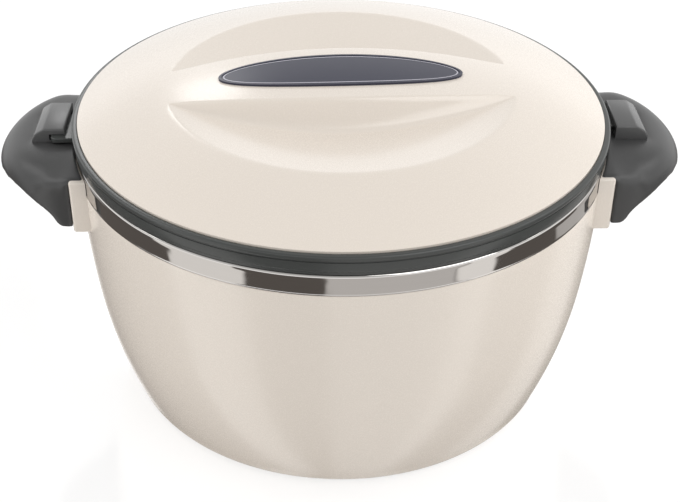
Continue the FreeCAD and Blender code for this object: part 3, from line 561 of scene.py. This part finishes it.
bm = bmesh.new()
bmesh.ops.create_grid(bm, x_segments=1, y_segments=1, size=table_half_width)
table = finished("table", bm)
table_paint = bpy.data.materials.new("table paint")
table_paint.use_nodes = True
tree = table_paint.node_tree
tree.nodes.clear()
seen = tree.nodes.new("ShaderNodeLightPath")
matt = tree.nodes.new("ShaderNodeBsdfDiffuse")
matt.inputs["Color"].default_value = grey(table_albedo)
shade = tree.nodes.new("ShaderNodeBsdfDiffuse")
shade.inputs["Color"].default_value = grey(shade_share)
mirror = tree.nodes.new("ShaderNodeBsdfGlossy")
mirror.inputs["Color"].default_value = grey(mirror_share)
mirror.inputs["Roughness"].default_value = table_polish
glow = tree.nodes.new("ShaderNodeEmission")
glow.inputs["Strength"].default_value = white_share
polished = tree.nodes.new("ShaderNodeAddShader")
shown = tree.nodes.new("ShaderNodeAddShader")
choice = tree.nodes.new("ShaderNodeMixShader")
surface = tree.nodes.new("ShaderNodeOutputMaterial")
tree.links.new(shade.outputs["BSDF"], polished.inputs[0])
tree.links.new(mirror.outputs["BSDF"], polished.inputs[1])
tree.links.new(polished.outputs["Shader"], shown.inputs[0])
tree.links.new(glow.outputs["Emission"], shown.inputs[1])
tree.links.new(seen.outputs["Is Camera Ray"], choice.inputs["Fac"])
tree.links.new(matt.outputs["BSDF"], choice.inputs[1])
tree.links.new(shown.outputs["Shader"], choice.inputs[2])
tree.links.new(choice.outputs["Shader"], surface.inputs["Surface"])
table.data.materials.append(table_paint)
table.visible_glossy = False

# Each card is its bearing from the front, its half width, both in degrees, and its brightness. The
# cards are seen near the level. Above them, and far behind the pot, the mirrored room is a wall
# that is brightest low down, given as elevations in degrees and their brightness.
cards = [(-61, 18, 1.10), (21.5, 28, 0.70), (59, 9, 1.20), (121, 15, 0.55), (182, 22, 1.15)]
card_fade, gap_colour, card_colour, sky_light = 1.5, (0.14, 0.125, 0.115), (1, 0.975, 0.95), 0.72
wall_levels = ((-10, 1.1), (6, 1.15), (16, 1.6), (26, 0.85), (38, 0.8), (52, 0.45))
wall_ends = 0.4
room = bpy.data.worlds.new("room")
bpy.context.scene.world = room
room.use_nodes = True
tree = room.node_tree
tree.nodes.clear()


def room_node(kind, operation=None):
    """A node of the room, set to one of its operations."""
    node = tree.nodes.new(kind)
    if operation:
        node.operation = operation
    return node


def faded(source, low, high, top=1.0):
    """A smooth step from 0, up to a top value, between two values of a socket."""
    step = room_node("ShaderNodeMapRange")
    step.interpolation_type = "SMOOTHSTEP"
    step.inputs["From Min"].default_value = low
    step.inputs["From Max"].default_value = high
    step.inputs["To Max"].default_value = top
    tree.links.new(source, step.inputs["Value"])
    return step.outputs["Result"]


def greater(one, other):
    """The greater of two sockets."""
    both = room_node("ShaderNodeMath", "MAXIMUM")
    tree.links.new(one, both.inputs[0])
    tree.links.new(other, both.inputs[1])
    return both.outputs["Value"]


place = room_node("ShaderNodeTexCoord")
level = room_node("ShaderNodeVectorMath", "MULTIPLY")
level.inputs[1].default_value = (1, 1, 0)
tree.links.new(place.outputs["Generated"], level.inputs[0])
bearing = room_node("ShaderNodeVectorMath", "NORMALIZE")
tree.links.new(level.outputs["Vector"], bearing.inputs[0])
total = None
for angle, half_width, brightness in cards:
    facing = room_node("ShaderNodeVectorMath", "DOT_PRODUCT")
    facing.inputs[1].default_value = (math.sin(math.radians(angle)), -math.cos(math.radians(angle)), 0)
    tree.links.new(bearing.outputs["Vector"], facing.inputs[0])
    outer, inner = (math.cos(math.radians(half_width + fade)) for fade in (card_fade, -card_fade))
    card = faded(facing.outputs["Value"], outer, inner, brightness)
    total = greater(total, card) if total else card
walls = room_node("ShaderNodeMix")
walls.data_type = "RGBA"
walls.clamp_factor = False
walls.inputs["A"].default_value = (*gap_colour, 1)
walls.inputs["B"].default_value = (*card_colour, 1)
tree.links.new(total, walls.inputs["Factor"])
height = room_node("ShaderNodeSeparateXYZ")
tree.links.new(place.outputs["Generated"], height.inputs["Vector"])
rise = room_node("ShaderNodeMapRange")
rise.inputs["From Min"].default_value = -1
tree.links.new(height.outputs["Z"], rise.inputs["Value"])
upward = tree.nodes.new("ShaderNodeValToRGB")
tree.links.new(rise.outputs["Result"], upward.inputs["Fac"])
upward.color_ramp.elements[1].position = 1
for elevation, brightness in wall_levels:
    stop = upward.color_ramp.elements.new((math.sin(math.radians(elevation)) + 1) / 2)
    stop.color = grey(brightness)
for stop in (upward.color_ramp.elements[0], upward.color_ramp.elements[-1]):
    stop.color = grey(wall_ends)
facing = room_node("ShaderNodeSeparateXYZ")
tree.links.new(bearing.outputs["Vector"], facing.inputs["Vector"])
behind = room_node("ShaderNodeMath", "MULTIPLY")
tree.links.new(faded(facing.outputs["Y"], 0.25, 0.65), behind.inputs[0])
tree.links.new(faded(height.outputs["Z"], -0.29, -0.17), behind.inputs[1])
mirrored = room_node("ShaderNodeMix")
mirrored.data_type = "RGBA"
above = greater(behind.outputs["Value"], faded(height.outputs["Z"], 0.12, 0.26))
tree.links.new(above, mirrored.inputs["Factor"])
tree.links.new(walls.outputs["Result"], mirrored.inputs["A"])
tree.links.new(upward.outputs["Color"], mirrored.inputs["B"])
seen = room_node("ShaderNodeLightPath")
lit = room_node("ShaderNodeMix")
lit.data_type = "RGBA"
lit.inputs["A"].default_value = grey(sky_light)
tree.links.new(seen.outputs["Is Glossy Ray"], lit.inputs["Factor"])
tree.links.new(mirrored.outputs["Result"], lit.inputs["B"])
white = room_node("ShaderNodeMix")
white.data_type = "RGBA"
white.inputs["B"].default_value = grey(1)
tree.links.new(seen.outputs["Is Camera Ray"], white.inputs["Factor"])
tree.links.new(lit.outputs["Result"], white.inputs["A"])
backdrop = room_node("ShaderNodeBackground")
tree.links.new(white.outputs["Result"], backdrop.inputs["Color"])
sky = room_node("ShaderNodeOutputWorld")
tree.links.new(backdrop.outputs["Background"], sky.inputs["Surface"])


def lamp(name, place, target, size, watts):
    """A softbox at a place in metres that faces a target."""
    light = bpy.data.lights.new(name, "AREA")
    light.shape = "RECTANGLE"
    light.size, light.size_y = size
    light.energy = watts
    holder = bpy.data.objects.new(name, light)
    holder.location = place
    holder.rotation_euler = (Vector(target) - Vector(place)).to_track_quat("-Z", "Y").to_euler()
    bpy.context.scene.collection.objects.link(holder)
    return holder


body_middle, lid_middle, side_distance, side_height = (0, 0, 0.08), (0, 0, 0.12), 1.3, 0.14
lamp("key softbox", (0.7, -0.7, 1.3), body_middle, (1.0, 1.0), 7)
for angle, watts in ((-80, 4.0), (105, 6.0)):
    across, forward = math.sin(math.radians(angle)), -math.cos(math.radians(angle))
    place = (side_distance * across, side_distance * forward, side_height)
    side_light = lamp("side softbox", place, body_middle, (0.6, 0.24), watts)
    side_light.visible_glossy = False
lamp("back softbox", (-0.336, 1.255, 0.85), lid_middle, (0.18, 0.18), 0.45)
for side in (-1, 1):
    lamp("high side softbox", (0.94 * side, 0.17, 1.12), lid_middle, (0.6, 0.6), 2.2)

# The camera stands in front of the pot and looks down at it from about 34 degrees.
picture_width, focal_length, picture_shift = 680, 1305, 7.6
pan, look_down, roll = math.radians(-1.3), 34.33, math.radians(0.33)
camera = bpy.data.cameras.new("camera")
camera.sensor_width = 36
camera.lens = focal_length / picture_width * camera.sensor_width
camera.shift_x = picture_shift / picture_width
camera.clip_start = 0.01
eye = bpy.data.objects.new("camera", camera)
eye.matrix_world = (Matrix.Translation((-0.01652, -0.56555, 0.4451)) @ Matrix.Rotation(pan, 4, "Z")
                    @ Matrix.Rotation(math.radians(90 - look_down), 4, "X")
                    @ Matrix.Rotation(roll, 4, "Z"))
bpy.context.scene.collection.objects.link(eye)
bpy.context.scene.camera = eye
bpy.context.scene.view_settings.view_transform = "Standard"
